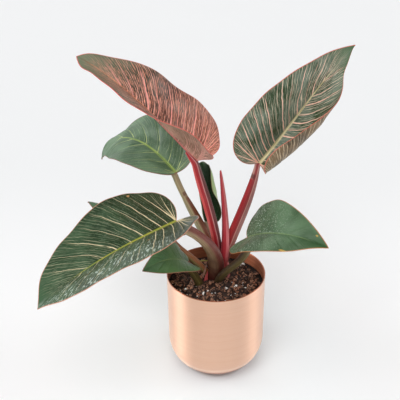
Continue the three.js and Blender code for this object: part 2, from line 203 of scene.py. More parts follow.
def finish_material(start, colour, roughness, height, bump_size, **constants):
    """Ends a material with the Principled shader and a bump. The constants go into the shader's sockets."""
    bump = start.node("ShaderNodeBump", None, {"Height": height, "Distance": bump_size})
    inputs = {"Base Color": colour, "Roughness": roughness, "Normal": bump}
    inputs.update({name.replace("_", " "): value for name, value in constants.items()})
    shader = start.node("ShaderNodeBsdfPrincipled", None, inputs)
    output = start.tree.nodes.new("ShaderNodeOutputMaterial")
    start.tree.links.new(shader.socket, output.inputs["Surface"])


print("shader helpers ready")

# %% [markdown]
# ## A helper for surfaces
# A grid of points needs faces between its rows, and a name, a body and a material of its own.
# Points that lie in one place are welded, so that poles and seams are closed. Lengths are in millimetres
# here, and become metres as the mesh is made.


# %% Turn grids of points into pieces
def grid_faces(rows, columns, ring=False):
    """Four corners for each cell of a grid, row by row. In a ring, the last column meets the first."""
    cells = columns if ring else columns - 1
    row = np.arange(rows - 1)[:, None]
    column = np.arange(cells)[None, :]
    following = (column + 1) % columns
    corners = [row * columns + column, row * columns + following]
    corners += [(row + 1) * columns + following, (row + 1) * columns + column]
    return np.stack(corners, -1).reshape(-1, 4)


def make_piece(name, points, faces, materials, nodes, maps=None, values=None, slots=None, smooth=True):
    """A welded mesh that stands for CAD nodes, if any. maps are its UV maps and values its attributes."""
    mesh = bpy.data.meshes.new(name)
    mesh.from_pydata((points * millimetre).tolist(), [], faces.tolist())
    for title, places in (maps or {}).items():
        layer = mesh.uv_layers.new(name=title)
        layer.uv.foreach_set("vector", places[faces].astype(np.float32).ravel())
    for title, numbers in (values or {}).items():
        vector = numbers.ndim == 2
        attribute = mesh.attributes.new(title, "FLOAT_VECTOR" if vector else "FLOAT", "POINT")
        attribute.data.foreach_set("vector" if vector else "value", numbers.astype(np.float32).ravel())
    for material in materials:
        mesh.materials.append(material)
    if slots is not None:
        mesh.polygons.foreach_set("material_index", slots.astype(np.int32))
    mesh.polygons.foreach_set("use_smooth", np.full(len(faces), smooth))
    welding = bmesh.new()
    welding.from_mesh(mesh)
    bmesh.ops.remove_doubles(welding, verts=welding.verts, dist=1e-6)
    welding.to_mesh(mesh)
    welding.free()
    mesh.update()
    piece = bpy.data.objects.new(name, mesh)
    bpy.context.scene.collection.objects.link(piece)
    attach(piece, "root")
    if nodes:
        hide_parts(*nodes)
    open_edges = count_open_edges(mesh)
    print(f"{name}: {len(mesh.polygons)} faces, {open_edges} open edges")
    return piece


def count_open_edges(mesh):
    """How many edges belong to one face only. A closed surface has none."""
    edges = np.zeros(len(mesh.loops), np.int32)
    mesh.loops.foreach_get("edge_index", edges)
    return int(np.sum(np.bincount(edges) == 1))


def rise(value, low, high):
    """A smooth rise from 0 at low to 1 at high: three times the square less twice the cube."""
    share = np.clip((value - low) / (high - low), 0, 1)
    return share * share * (3 - 2 * share)


print("surface helpers ready")

# %% [markdown]
# ## The pot
# The real pot is spun from copper-coloured sheet over a form, so it is a surface of revolution with fine
# lines round it. The outline runs up the outside, over the rounded rim and down the inside.

# %% Shape the pot
pot_radius = 60
pot_height = 133
pot_wall = 1.2
pot_corner = 41
soil_level = 116


def revolve(radii, heights, sides):
    """Turns an outline about the upright axis: x and y are the radius times a cosine and a sine."""
    angles = np.linspace(0, 2 * np.pi, sides, endpoint=False)
    across = radii[:, None] * np.cos(angles)
    along = radii[:, None] * np.sin(angles)
    level = np.repeat(heights[:, None], sides, axis=1)
    return np.stack([across, along, level], -1).reshape(-1, 3)


def pot_outline(inset, top):
    """The pot's outline, inset by an amount: flat base, quarter circle, upright wall."""
    turn = np.linspace(0, np.pi / 2, 40)
    corner = pot_corner - inset
    out = pot_radius - pot_corner + corner * np.sin(turn)
    up = pot_corner - corner * np.cos(turn)
    wall = np.linspace(pot_corner, top, 20)[1:]
    radii = np.concatenate([[0], out, np.full(len(wall), pot_radius - inset)])
    heights = np.concatenate([[inset], up, wall])
    return radii, heights


outer_radii, outer_heights = pot_outline(0, pot_height - pot_wall / 2)
inner_radii, inner_heights = pot_outline(pot_wall, pot_height - pot_wall / 2)
lip = np.linspace(0, np.pi, 9)[1:-1]
lip_radii = pot_radius - pot_wall / 2 + pot_wall / 2 * np.cos(lip)
lip_heights = pot_height - pot_wall / 2 + pot_wall / 2 * np.sin(lip)
radii = np.concatenate([outer_radii, lip_radii, inner_radii[::-1]])
heights = np.concatenate([outer_heights, lip_heights, inner_heights[::-1]])
pot_sides = 160
pot_points = revolve(radii, heights, pot_sides)
pot_faces = grid_faces(len(radii), pot_sides, ring=True)
print("the pot's outline has", len(radii), "points")

# %% Finish the pot in brushed copper
# Heights on the rounded base of a painted highlight line and, below it, of painted shade
painted_highlight_height = 0.0245
painted_highlight_breadth = (0.0035, 0.001)
painted_shade_heights = (0.0215, 0.0160)


def copper_skin(name, dull, bright, fine, roughness, metallic, painted_light_strength):
    """Copper with fine lines that run round it, so that a light's reflection is drawn out upwards.
    Where the base turns under, a painted highlight line and then painted shade show, as strong as the last
    argument. The shade stands for the floor's contact shadow as the copper would reflect it."""
    material, start = start_material(name)
    place = start.place()
    _, _, height = place.parts()
    lines = start.noise(place.scaled(5, 5, fine), detail=3)
    broad = start.noise(place.scaled(14, 14, 320))
    colour = overlay(
        (broad * 0.2 + lines * 0.8).step(0.25, 0.75).blend(dull, bright),
        # Painted highlight, then painted shade for the reflected contact shadow, low on the rounded base
        (abs(height - painted_highlight_height).step(*painted_highlight_breadth) * painted_light_strength * 0.5, (255, 226, 206)),
        (height.step(*painted_shade_heights) * painted_light_strength, (138, 72, 44)),
    )
    finish_material(
        start, colour, roughness + lines * 0.08, lines, 0.00003,
        Metallic=metallic, Anisotropic=0.9, Anisotropic_Rotation=0.25, Coat_Weight=0.6, Coat_Roughness=0.25,
    )
    return material


outer_copper = copper_skin("brushed_copper", (236, 190, 162), (242, 202, 176), 2600, 0.38, 1.0, 0.8)
# Painted shade: the lip and the inner wall take a darker, redder copy of the copper
copper_in_painted_shade = copper_skin("copper_inside_painted_shade", (164, 92, 62), (208, 132, 98), 900, 0.4, 0.8, 0)
rim_from = len(outer_radii) - 1
pot_slots = np.repeat(np.arange(len(radii) - 1) >= rim_from, pot_sides)
make_piece("copper_pot", pot_points, pot_faces, [outer_copper, copper_in_painted_shade], ["pot"], slots=pot_slots)

# %% [markdown]
# ## The soil
# A houseplant mix is bark, peat and white perlite. The ground is a disc raised by soft lumps, and loose
# crumbs of bark and perlite lie on it. Each crumb is a small twelve-cornered stone, squashed, turned and
# dented at random, and all the crumbs of a kind are worked out together as one array.

# %% Raise the ground
chip_seed = 11
lump_count = 70
lump_heights = (1, 3.5)
lump_radii = (3, 6.5)
stream_factor = 1664525
stream_step = 1013904223
stream_size = 2**32
soil_gap = 0.3
soil_sides = 140


def soil_lumps():
    """The lumps that the solid soil has too: the place, height and radius of each, from a number stream."""
    state = chip_seed
    drawn = []
    for _ in range(lump_count * 4):
        state = (state * stream_factor + stream_step) % stream_size
        drawn.append(state / stream_size)
    turn, out, tall, wide = np.array(drawn).reshape(-1, 4).T
    distance = (pot_radius - lump_radii[1]) * np.sqrt(out)
    height = lump_heights[0] + (lump_heights[1] - lump_heights[0]) * tall
    radius = lump_radii[0] + (lump_radii[1] - lump_radii[0]) * wide
    return distance * np.cos(2 * np.pi * turn), distance * np.sin(2 * np.pi * turn), height, radius


lump_x, lump_y, lump_height, lump_radius = soil_lumps()


def soil_height(x, y):
    """The ground at places x and y: the tallest of the lumps there, each a bell of its height and radius."""
    reach = ((x[..., None] - lump_x) ** 2 + (y[..., None] - lump_y) ** 2) / lump_radius**2
    return soil_level + np.max(lump_height * np.exp(-reach), axis=-1)


ring_radii = np.linspace(0, pot_radius - pot_wall - soil_gap, 60)
ground = revolve(ring_radii, np.full(len(ring_radii), soil_level), soil_sides)
ground[:, 2] = soil_height(ground[:, 0], ground[:, 1])
under_radii, under_heights = pot_outline(pot_wall + soil_gap, soil_level - 1)
under = revolve(under_radii[::-1], under_heights[::-1], soil_sides)
soil_points = np.concatenate([ground, under])
soil_faces = grid_faces(len(ring_radii) + len(under_radii), soil_sides, ring=True)[:, ::-1]
print("the tallest lump is", lump_height.max().round(1), "mm high")

# %% Finish the soil
bark_mix, start = start_material("bark_and_peat")
place = start.place()
grit = start.noise(place, scale=420, detail=4, roughness=0.7)
patches = start.noise(place, scale=60, detail=3)
wall_shade = (0.05, 0.056)
soil_colour = overlay(
    grit.step(0.35, 0.7).blend((18, 11, 9), (72, 46, 36)),
    (patches.step(0.45, 0.75), (62, 40, 31)),
    # Painted shade: the soil darkens in the corner by the pot's wall
    (place.from_axis().step(*wall_shade), (16, 10, 8)),
)
finish_material(start, soil_colour, 0.85 + grit * 0.1, grit, 0.0012)
make_piece("soil_ground", soil_points, soil_faces, [bark_mix], ["soil"])

# %% Dent and turn a stone many times
stone = bmesh.new()
bmesh.ops.create_icosphere(stone, subdivisions=1, radius=1)
stone_corners = np.array([vertex.co[:] for vertex in stone.verts])
stone_faces = np.array([[vertex.index for vertex in face.verts] for face in stone.faces])
stone.free()


def turned(first, second, angle):
    """Two coordinates turned by an angle: a cosine share of each with a sine share of the other."""
    cosine = np.cos(angle)[:, None]
    sine = np.sin(angle)[:, None]
    return first * cosine - second * sine, first * sine + second * cosine


def crumbs(x, y, sizes, flatness, sink, uneven, rng):
    """Dented stones at places on the ground: corners times dent and size, tilted and turned at random."""
    count = len(x)
    dent = rng.uniform(1 - uneven, 1 + uneven / 2, (count, len(stone_corners), 1))
    stretch = rng.uniform(0.6, 1.4, (count, 1, 3)) * [1, 1, flatness]
    yaw = rng.uniform(0, 2 * np.pi, count)
    tilt = rng.uniform(-0.7, 0.7, count)
    tones = np.repeat(rng.uniform(0, 1, count), len(stone_corners))
    shaped = stone_corners * dent * stretch * sizes[:, None, None]
    across, along, up = np.moveaxis(shaped, -1, 0)
    along, up = turned(along, up, tilt)
    across, along = turned(across, along, yaw)
    centres = np.stack([x, y, soil_height(x, y) + sizes * sink], -1)
    points = (np.stack([across, along, up], -1) + centres[:, None]).reshape(-1, 3)
    faces = (stone_faces[None] + (np.arange(count) * len(stone_corners))[:, None, None]).reshape(-1, 3)
    return points, faces, tones


print("a stone has", len(stone_corners), "corners")


# %% Scatter bark crumbs and perlite
def scattered(count, reach, rng):
    """Places spread evenly over a disc: the square root evens out the distance from the middle."""
    turn = rng.uniform(0, 2 * np.pi, count)
    distance = reach * np.sqrt(rng.uniform(0, 1, count))
    return distance * np.cos(turn), distance * np.sin(turn)


rng = np.random.default_rng(5)
crumb_reach = 54
bark_count = 640
bark_x, bark_y = scattered(bark_count, crumb_reach, rng)
bark_sizes = 1.2 + 2.8 * rng.uniform(0, 1, bark_count) ** 1.5
bark_points, bark_faces, bark_tones = crumbs(bark_x, bark_y, bark_sizes, 0.6, 0.3, 0.45, rng)

# The grains that show most are listed one by one: x, y and size. The rest fall anywhere.
seen_grains = np.array([
    [34, 37.5, 2.1], [-15, -24.5, 2.7], [-32.5, -8, 1.4], [-36.5, -15, 1.6], [-43, -18, 1.4], [-34, -27, 1.3],
    [-9.5, -18, 1.3], [13, -17, 1.7], [24.5, -10, 2.1], [28, -9, 1.4], [32.5, -3, 1.1], [35.5, -15, 1.1],
    [-41, -24, 1.5], [-22, -30, 1.0], [5, -33, 0.9], [-1, -24, 1.0], [18, -26, 0.9],
])
grain_count = 80
grain_x, grain_y = scattered(grain_count, crumb_reach, rng)
grain_x = np.concatenate([seen_grains[:, 0], grain_x])
grain_y = np.concatenate([seen_grains[:, 1], grain_y])
grain_sizes = np.concatenate([seen_grains[:, 2], rng.uniform(0.4, 1.0, grain_count)])
grain_points, grain_faces, _ = crumbs(grain_x, grain_y, grain_sizes, 0.8, 1.1, 0.65, rng)
print("crumbs:", bark_count, "and grains:", len(grain_x))

# %% Finish the crumbs
bark, start = start_material("bark_crumbs")
tone = start.attribute("tone")
fibre = start.noise(start.place(), scale=500, detail=3)
bark_colour = overlay(tone.blend((44, 25, 18), (206, 150, 120)), (tone.step(0.8, 0.95), (172, 112, 84)))
bark_colour = fibre.step(0.38, 0.6).blend((22, 12, 9), bark_colour)
finish_material(start, bark_colour, 0.8 + fibre * 0.15, fibre, 0.0006)
tones = {"tone": bark_tones}
crumb_piece = make_piece("bark_crumbs", bark_points, bark_faces, [bark], [], values=tones, smooth=False)

perlite, start = start_material("perlite")
dust = start.noise(start.place(), scale=700)
perlite_colour = dust.step(0.3, 0.55).blend((222, 214, 204), (252, 250, 247))
finish_material(start, perlite_colour, 0.8 + dust * 0.1, dust, 0.0003)
grain_piece = make_piece("perlite_grains", grain_points, grain_faces, [perlite], [], smooth=False)

# %% [markdown]
# ## The blades
# Each half of a blade is a surface of two parameters. One, the share, runs along the outline from the foot,
# round the lobe, to the tip. The other, the reach, runs out along a vein from the midrib to the edge.
# Veins then are lines of one share, so a marking that follows a vein is a pattern of the share alone.
# The same numbers make the solid leaves. The finer surface adds the rib, the sunken veins and a thin edge.

# %% List the shape of each leaf
plain_veins = (0.2, 0.32, 0.42, 0.52, 0.62, 0.72)


def half(width, lobe, fold, curl, wave, bold=(), thin=plain_veins):
    """One half of a leaf. Its fold and curl are angles at the foot and at the tip, and its wave is a height,
    a count and a start. bold and thin are the shares of the outline where its main veins end."""
    return SimpleNamespace(width=width, lobe=lobe, fold=fold, curl=curl, wave=wave, bold=bold, thin=thin)


# A pair of angles holds at the foot and at the tip. The bend is how late the slope changes, and the point is
# how finely the tip is drawn out. The grid counts the rows along a half's edge and the columns out to it.
leaf_shapes = {
    "pink": SimpleNamespace(
        foot=(-21, 0, 282.5), length=172, heading=(174, 164), slope=(47, 21), roll=(-13, -24),
        bend=2.7, point=0.85, grid=(220, 30),
        left=half(
            62.5, 11.5, (74, 7), (-44, 56), (5.9, 2.64, 139),
            (0.2, 0.3, 0.39), (0.12, 0.25, 0.34, 0.48, 0.57, 0.66, 0.75),
        ),
        right=half(
            56, 19, (29, 26), (-8, -65), (2.2, 3.75, 7),
            (0.18, 0.29, 0.38, 0.508, 0.635, 0.79), (0.1, 0.24, 0.335, 0.435, 0.47, 0.58, 0.72),
        ),
    ),
    "striped": SimpleNamespace(
        foot=(47.5, -5, 281.5), length=169, heading=(15, 41), slope=(50, 26), roll=(88, 124),
        bend=2.7, point=1, grid=(220, 30),
        left=half(
            56.5, 15, (30, -25), (-38, -27), (0, 2, 0),
            (0.15, 0.225, 0.31, 0.377, 0.435, 0.507, 0.6, 0.705),
            (0.09, 0.26, 0.345, 0.405, 0.547, 0.655, 0.78),
        ),
        right=half(
            57.5, 7, (50, -23), (157, 243), (5, 2.1, 165),
            (0.483, 0.557, 0.652, 0.78), (0.14, 0.24, 0.33, 0.41, 0.52, 0.6, 0.7),
        ),
    ),
    "left": SimpleNamespace(
        foot=(-48, 35, 249.5), length=149, heading=(139, 149), slope=(33, -79), roll=(-11, -30),
        bend=1.7, point=0.8, grid=(200, 26),
        left=half(
            44.5, 5, (37, -14), (-20, -26), (1.5, 2.6, 65), (),
            (0.2, 0.31, 0.4, 0.49, 0.58, 0.67, 0.76),
        ),
        right=half(
            41.5, 8, (36, -11), (6, -24), (5, 2.8, -45), (),
            (0.18, 0.3, 0.39, 0.48, 0.57, 0.66, 0.75),
        ),
    ),
    "front": SimpleNamespace(
        foot=(-44, -30, 221), length=177, heading=(217, 212), slope=(-5, -36), roll=(2, -8),
        bend=1.8, point=0.65, grid=(220, 30),
        left=half(
            53.5, 22, (33, 25), (-26, -32), (2.5, 2.6, -55),
            (0.08, 0.11, 0.14, 0.17, 0.195, 0.225, 0.267, 0.343, 0.393, 0.43),
            (0.3, 0.487, 0.557, 0.63, 0.71, 0.79),
        ),
        right=half(
            55.5, 16, (32, 28), (10, 11), (2.5, 3, -10),
            (0.19, 0.3, 0.392, 0.49, 0.62), (0.12, 0.25, 0.35, 0.44, 0.55, 0.686, 0.76),
        ),
    ),
    "right": SimpleNamespace(
        foot=(36, -30, 199.5), length=122, heading=(-53, -43), slope=(40, -1), roll=(23, 43),
        bend=1, point=0.85, grid=(150, 20),
        left=half(39, 16, (19, 38), (4, 2), (1.5, 2.3, -45)),
        right=half(35.5, 16, (20, 34), (-21, -26), (2, 2.5, 35)),
    ),
    "back": SimpleNamespace(
        foot=(-10, 30, 187.5), length=107, heading=(94, 97), slope=(17, 17), roll=(28, 5),
        bend=1.5, point=0.75, grid=(150, 20),
        left=half(32, 16, (36, 48), (22, 24), (1, 2.2, -10)),
        right=half(36.5, 13, (35, 50), (120, 112), (3, 2.7, -80)),
    ),
    "left_back": SimpleNamespace(
        foot=(-55.5, 26, 168), length=123, heading=(155, 154), slope=(12, 4), roll=(11, 11),
        bend=1.4, point=0.8, grid=(150, 20),
        left=half(34, 19, (8, -2), (4, 3), (0.5, 2.2, 0)),
        right=half(34, 19, (7, -3), (-2, 1), (1, 2.2, 0)),
    ),
    "low": SimpleNamespace(
        foot=(-33.5, -12, 154.5), length=75, heading=(229, 223), slope=(41, -14), roll=(-18, -63),
        bend=1.3, point=0.75, grid=(150, 20),
        left=half(23, 13, (13, 20), (2, -8), (1.5, 2.4, 10)),
        right=half(22.5, 12, (10, 24), (1, 26), (0, 2, 0)),
    ),
}
print("leaves:", len(leaf_shapes))

# %% Carry the midrib through space
rib_steps = 240


def between(pair, share):
    """The value at a share of the way from the first of a pair to the second."""
    return pair[0] + (pair[1] - pair[0]) * share


def rib_frame(leaf, share):
    """The rib's direction, the blade's left side and its upper face, from a heading, a slope and a roll."""
    heading = np.radians(between(leaf.heading, share))
    slope = np.radians(between(leaf.slope, share**leaf.bend))
    roll = np.radians(between(leaf.roll, share))[..., None]
    forward = np.stack([np.cos(slope) * np.cos(heading), np.cos(slope) * np.sin(heading), np.sin(slope)], -1)
    level = np.stack([-np.sin(heading), np.cos(heading), np.zeros_like(heading)], -1)
    left = level * np.cos(roll) + np.cross(forward, level) * np.sin(roll)
    return forward, left, np.cross(forward, left)


def rib_places(leaf, along):
    """Places on the rib: the sum of short steps along its direction, and straight on behind the foot."""
    middles = (np.arange(rib_steps) + 0.5) / rib_steps
    steps = rib_frame(leaf, middles)[0] * leaf.length / rib_steps
    summed = np.concatenate([np.zeros((1, 3)), np.cumsum(steps, axis=0)]) + leaf.foot
    share = np.clip(along / leaf.length, 0, 1)
    spots = np.linspace(0, 1, rib_steps + 1)
    places = np.stack([np.interp(share, spots, summed[:, axis]) for axis in range(3)], -1)
    return places + rib_frame(leaf, share)[0] * np.minimum(along, 0)[..., None]


pink_tip = rib_places(leaf_shapes["pink"], np.array([leaf_shapes["pink"].length]))[0]
print("the pink leaf's tip is at", pink_tip.round())

# %% Lay the flat blade out
fan_share = 0.3
vein_crowding = 1.1
vein_sweep = 1.25
lobe_fade = 4


def hump(share, fall):
    """Half a sine, which falls to its end with a power, over its own greatest value."""
    spots = np.linspace(0, 1, 201)
    shaped, whole = (np.sin(np.pi * value) * (1 - value) ** fall for value in (share, spots))
    return shaped, whole.max()


def outline(leaf, side, share):
    """Half of a flat blade's edge: a sine drawn to a point across, a cosine pulled back by the lobe along."""
    tapered, widest = hump(share, leaf.point)
    lobed, longest = hump(share, lobe_fade)
    across = side.width * tapered / widest
    return across, leaf.length * (1 - np.cos(np.pi * share)) / 2 - side.lobe * lobed / longest


def flat_place(leaf, side, share, reach):
    """The place on the flat blade, across and along, of a point at a reach along the vein of a share."""
    across, along = outline(leaf, side, share)
    root = leaf.length * np.clip((share - fan_share) / (1 - fan_share), 0, 1) ** vein_crowding
    return across * reach, root + (along - root) * reach**vein_sweep


def edge_distance(leaf, side, x, y):
    """How far a flat place is from the edge: the least distance to many places along the outline."""
    edge_x, edge_y = outline(leaf, side, np.linspace(0, 1, 900))
    rows = zip(x[..., None], y[..., None])
    return np.array([np.hypot(row_x - edge_x, row_y - edge_y).min(axis=-1) for row_x, row_y in rows])


def vein_spacing(x, y):
    """The distance between veins for one whole share: the area that a grid cell covers over its length."""
    share_x, reach_x = np.gradient(x)
    share_y, reach_y = np.gradient(y)
    area = np.abs(share_x * reach_y - share_y * reach_x) * (len(x) - 1)
    return np.maximum(area / np.maximum(np.hypot(reach_x, reach_y), 1e-3), 5)


flat_front = outline(leaf_shapes["front"], leaf_shapes["front"].left, np.linspace(0, 1, 50))
print("half the front leaf is", flat_front[0].max().round(1), "mm wide")

# %% Sink the veins and swell the blade
groove_breadth = 0.009
groove_depth = 0.55
swell_count = 6
swell_lengths = (22, 60)
swell_height = 0.3


def vein_grooves(side, share, reach):
    """How far the blade is drawn down at its main veins: a narrow bell round each one's share."""
    depth = np.zeros_like(share)
    for vein in (*side.bold, *side.thin):
        depth = np.maximum(depth, np.exp(-(((share - vein) / groove_breadth) ** 2)))
    return groove_depth * depth * rise(reach, 0.02, 0.2) * (1 - rise(reach, 0.7, 1))


def swell(leaf, x, y, reach):
    """Slow uneven swells of the blade: a sum of plane waves of different lengths and directions."""
    rng = np.random.default_rng(int(leaf.length))
    height = np.zeros_like(x)
    for _ in range(swell_count):
        turn, start = rng.uniform(0, 2 * np.pi, 2)
        length = rng.uniform(*swell_lengths)
        height += np.sin(2 * np.pi * (x * np.cos(turn) + y * np.sin(turn)) / length + start)
    return height * swell_height * rise(reach, 0, 0.4)


print("veins are sunk", groove_depth, "mm")

# %% Bend each half and join the two
blade_thickness = 0.6
rib_depth = (2.2, 0.3)
rib_breadth = 2.3
rib_raise = 0.35
edge_crowding = 0.6


def blade_half(leaf, sign):
    """Half a blade: its points, its vein map, its flat map and its measures, first above and then below.
    The section across the rib is an arc that leaves it at the fold and turns by the curl. The two faces lie
    half a thickness each side of it, and the lower one bulges into the rib."""
    side = leaf.left if sign == 1 else leaf.right
    rows, columns = leaf.grid
    even = np.linspace(0, 1, columns)
    crowded = (1 - edge_crowding) * even + edge_crowding * (1 - np.cos(np.pi * even)) / 2
    share, reach = np.meshgrid(np.linspace(0, 1, rows), crowded, indexing="ij")
    x, y = flat_place(leaf, side, share, reach)
    rib_share = np.clip(y / leaf.length, 0, 1)
    _, left, up = rib_frame(leaf, rib_share)
    fold = np.radians(between(side.fold, rib_share))
    turn = np.radians(between(side.curl, rib_share)) / side.width
    angle = fold + turn * x
    wave_height, wave_count, wave_start = side.wave
    wave = wave_height * np.sin(2 * np.pi * wave_count * share + np.radians(wave_start))
    sideways = (np.sin(angle) - np.sin(fold)) / turn
    lift = (np.cos(fold) - np.cos(angle)) / turn + wave * reach**2 * np.sin(np.pi * share)
    lift += swell(leaf, sign * x, y, reach) - vein_grooves(side, share, reach)
    rib = np.exp(-((x / rib_breadth) ** 2))
    facing = (angle * (1 - rib))[..., None]
    normal = up * np.cos(facing) - sign * left * np.sin(facing)
    middle = rib_places(leaf, y) + sign * left * sideways[..., None] + up * lift[..., None]
    above = blade_thickness / 2 + rib_raise * rib * (1 - rib_share)
    below = blade_thickness / 2 + between(rib_depth, rib_share) * rib
    points = np.concatenate([middle + normal * above[..., None], middle - normal * below[..., None]])
    veins = np.stack([sign * share, reach], -1)
    spread = np.stack([sign * x, y], -1)
    measures = np.stack([edge_distance(leaf, side, x, y), vein_spacing(x, y)], -1)
    maps = [np.tile(grid.reshape(-1, 2), (2, 1)) for grid in (veins, spread, measures)]
    return points.reshape(-1, 3), *maps


def blade_faces(leaf, sign):
    """The cells of the upper face, of the lower face turned over, and of the wall that joins their edges."""
    rows, columns = leaf.grid
    upper = grid_faces(rows, columns)[:, [0, 3, 2, 1]]
    lower = upper[:, ::-1] + rows * columns
    last = np.arange(rows) * columns + columns - 1
    wall = np.stack([last[:-1], last[1:], last[1:] + rows * columns, last[:-1] + rows * columns], -1)
    faces = np.concatenate([upper, lower, wall])
    slots = np.concatenate([np.zeros(len(upper)), np.ones(len(lower)), np.zeros(len(wall))])
    return (faces if sign == 1 else faces[:, ::-1] + 2 * rows * columns), slots


def make_blade(name, upper_skin, lower_skin):
    """Joins the two halves of a blade into one closed piece, with its vein map, its flat map and its edge."""
    leaf = leaf_shapes[name]
    points, veins, spread, measures = map(np.concatenate, zip(*(blade_half(leaf, sign) for sign in (1, -1))))
    faces, slots = map(np.concatenate, zip(*(blade_faces(leaf, sign) for sign in (1, -1))))
    edge, spacing = measures.T
    return make_piece(
        f"blade_{name}", points, faces, [upper_skin, lower_skin], [f"leaf_{name}"],
        {"veins": veins, "spread": spread}, {"edge": edge, "spacing": spacing}, slots,
    )


print("blade thickness", blade_thickness, "mm")

# %% [markdown]
# ## The skin of a blade
# The markings could be painted by hand on an image, but a formula stays sharp at any size. Every marking
# follows the veins, so the shader reads the share and the reach from the blade's own map. Main veins are thin
# lines at chosen shares. The fine streaks are lines counted off along the share, and a noise sets how strong
# each of them is. The rib and the coloured edge need true distances, which come from the flat map and the
# edge attribute.


# %% Draw the markings that both faces share
def vein_lines(share, reach, spacing, shape, width):
    """The main veins of both halves: lines of a true width, which thin out towards the edge."""
    found = None
    for sign, side in ((1, shape.left), (-1, shape.right)):
        for veins, weight in ((side.bold, 1), (side.thin, 0.5)):
            taper = (1.15 - reach * 0.75) * (width * weight)
            for vein in veins:
                line = (abs(share - sign * vein) * spacing / taper).step(1.25, 0.45)
                found = line if found is None else found.larger(line)
    return found


def fine_lines(start, share, reach, spacing, count, width, breaks, seed):
    """Thin lines along the veins, count to a share. A noise sets each one's strength and where it breaks."""
    drift = start.noise(start.vector(share * (count * 0.35), reach * 1.2, seed), detail=1)
    phase = share * count + drift * 2.2
    number = phase.math("FLOOR", phase)
    away = abs(phase - number - 0.5) * spacing / count
    strength = start.noise(start.vector(number * 3.7, reach * breaks, seed)).step(0.32, 0.66)
    return (away / width).step(1.3, 0.4) * strength


def blade_pattern(start, shape, look, hair_seed, line_seed):
    """The share and the reach of a place, its place on the flat blade, and how strongly the hairs, the lines,
    the main veins and the coloured edge show there. The bent share wanders a little, as real veins do."""
    share, reach, _ = start.node("ShaderNodeUVMap", {"uv_map": "veins"}).parts()
    across, along, _ = start.node("ShaderNodeUVMap", {"uv_map": "spread"}).parts()
    spacing = start.attribute("spacing")
    wander = start.noise(start.vector(share * 16, reach * 5, 0.5)) - 0.5
    bent = share + wander * 0.014
    return SimpleNamespace(
        share=share, bent=bent, reach=reach, wander=wander,
        across=across, along=along, lengthwise=along / shape.length,
        hairs=fine_lines(start, bent, reach, spacing, look.hair_count, look.hair_width, 9, hair_seed),
        lines=fine_lines(start, bent, reach, spacing, look.line_count, look.line_width, 3.5, line_seed),
        veins=vein_lines(bent, reach, spacing, shape, look.vein_width),
        margin=start.attribute("edge").step(look.margin_width * 1.3, look.margin_width * 0.5),
    )


print("markings ready")


# %% Build the skin of an upper face
def upper_skin(name, look):
    """Ground, foot, tip, hairs, lines, flecks, specks, main veins, rib, edge and marks, one over another."""
    material, start = start_material(f"upper_{name}")
    blade = blade_pattern(start, leaf_shapes[name], look, 3.1, 7.7)
    place = start.place()
    fade = blade.lengthwise.step(look.fade[1], look.fade[0])
    lined = fade * (1 - blade.lengthwise.step(0.45, 0.05) * look.foot_clear)
    hairs = blade.hairs * lined
    lines = blade.lines * lined
    patches = start.noise(place, scale=34)
    colour = overlay(
        # The ground mottles from deep to pale. On the pink and the striped leaf the pale patches are painted
        # sheen
        patches.step(0.38, 0.66).blend(look.deep, look.pale),
        (blade.lengthwise.step(0.55, 0.05) * look.base_strength, look.base),
        (blade.lengthwise.step(look.tip_from, 1), look.tip),
        (hairs * look.hair_strength, look.hair),
        (lines * look.line_strength, look.line),
    )
    if look.flecks:
        # Pale flecks on the lower blade: partly the leaf's own speckles and partly painted sheen
        flecks = start.noise(start.vector(blade.bent * 120, blade.reach * 14, 1.7)).step(0.57, 0.64)
        flecks = flecks * blade.share.step(-0.02, 0.05) * blade.reach.step(0.08, 0.4)
        flecks = flecks * blade.lengthwise.step(0.05, 0.35) * look.flecks
        colour = flecks.blend(colour, (206, 222, 208))
    specks = start.noise(place, scale=650).step(0.56, 0.68) * blade.lengthwise.step(0.75, 0.1)
    gaps = start.noise(start.vector(blade.share * 40, blade.reach * 5, 9.2)).step(*look.vein_gaps)
    veins = blade.veins * gaps * fade * blade.reach.step(1.04, look.vein_end)
    rib_width = (1 - blade.lengthwise / look.rib_reach).larger(0) * look.rib_width + 0.25
    rib_end = blade.lengthwise.step(look.rib_reach, look.rib_reach - 0.2)
    rib = (abs(blade.across) / rib_width).step(1.3, 0.5) * rib_end
    strands = start.noise(start.vector(blade.across * 1.2, blade.along * 0.06, 4)).step(0.35, 0.65)
    colour = overlay(
        colour,
        (specks * look.specks, (186, 202, 182)),
        (veins * look.vein_strength, look.vein),
        (rib * look.rib_strength, strands.blend(look.rib, look.rib_edge)),
        (blade.margin, look.margin),
    )
    for mark_across, mark_along, breadth, height in look.marks:
        out = (blade.across - mark_across) / breadth
        up = (blade.along - mark_along) / height
        mark = (out * out + up * up + blade.wander * 2).step(1.5, 0.4)
        colour = (mark * 0.7).blend(colour, look.mark)
    grain = start.noise(place, scale=1500)
    height = grain * 0.2 + hairs * 0.3 + lines * 0.4 + veins * 0.6
    roughness = look.roughness + patches * 0.14 + grain * 0.05
    finish_material(start, colour, roughness, height, 0.0003, Specular_IOR_Level=look.shine)
    return material


print("skin of the upper face ready")


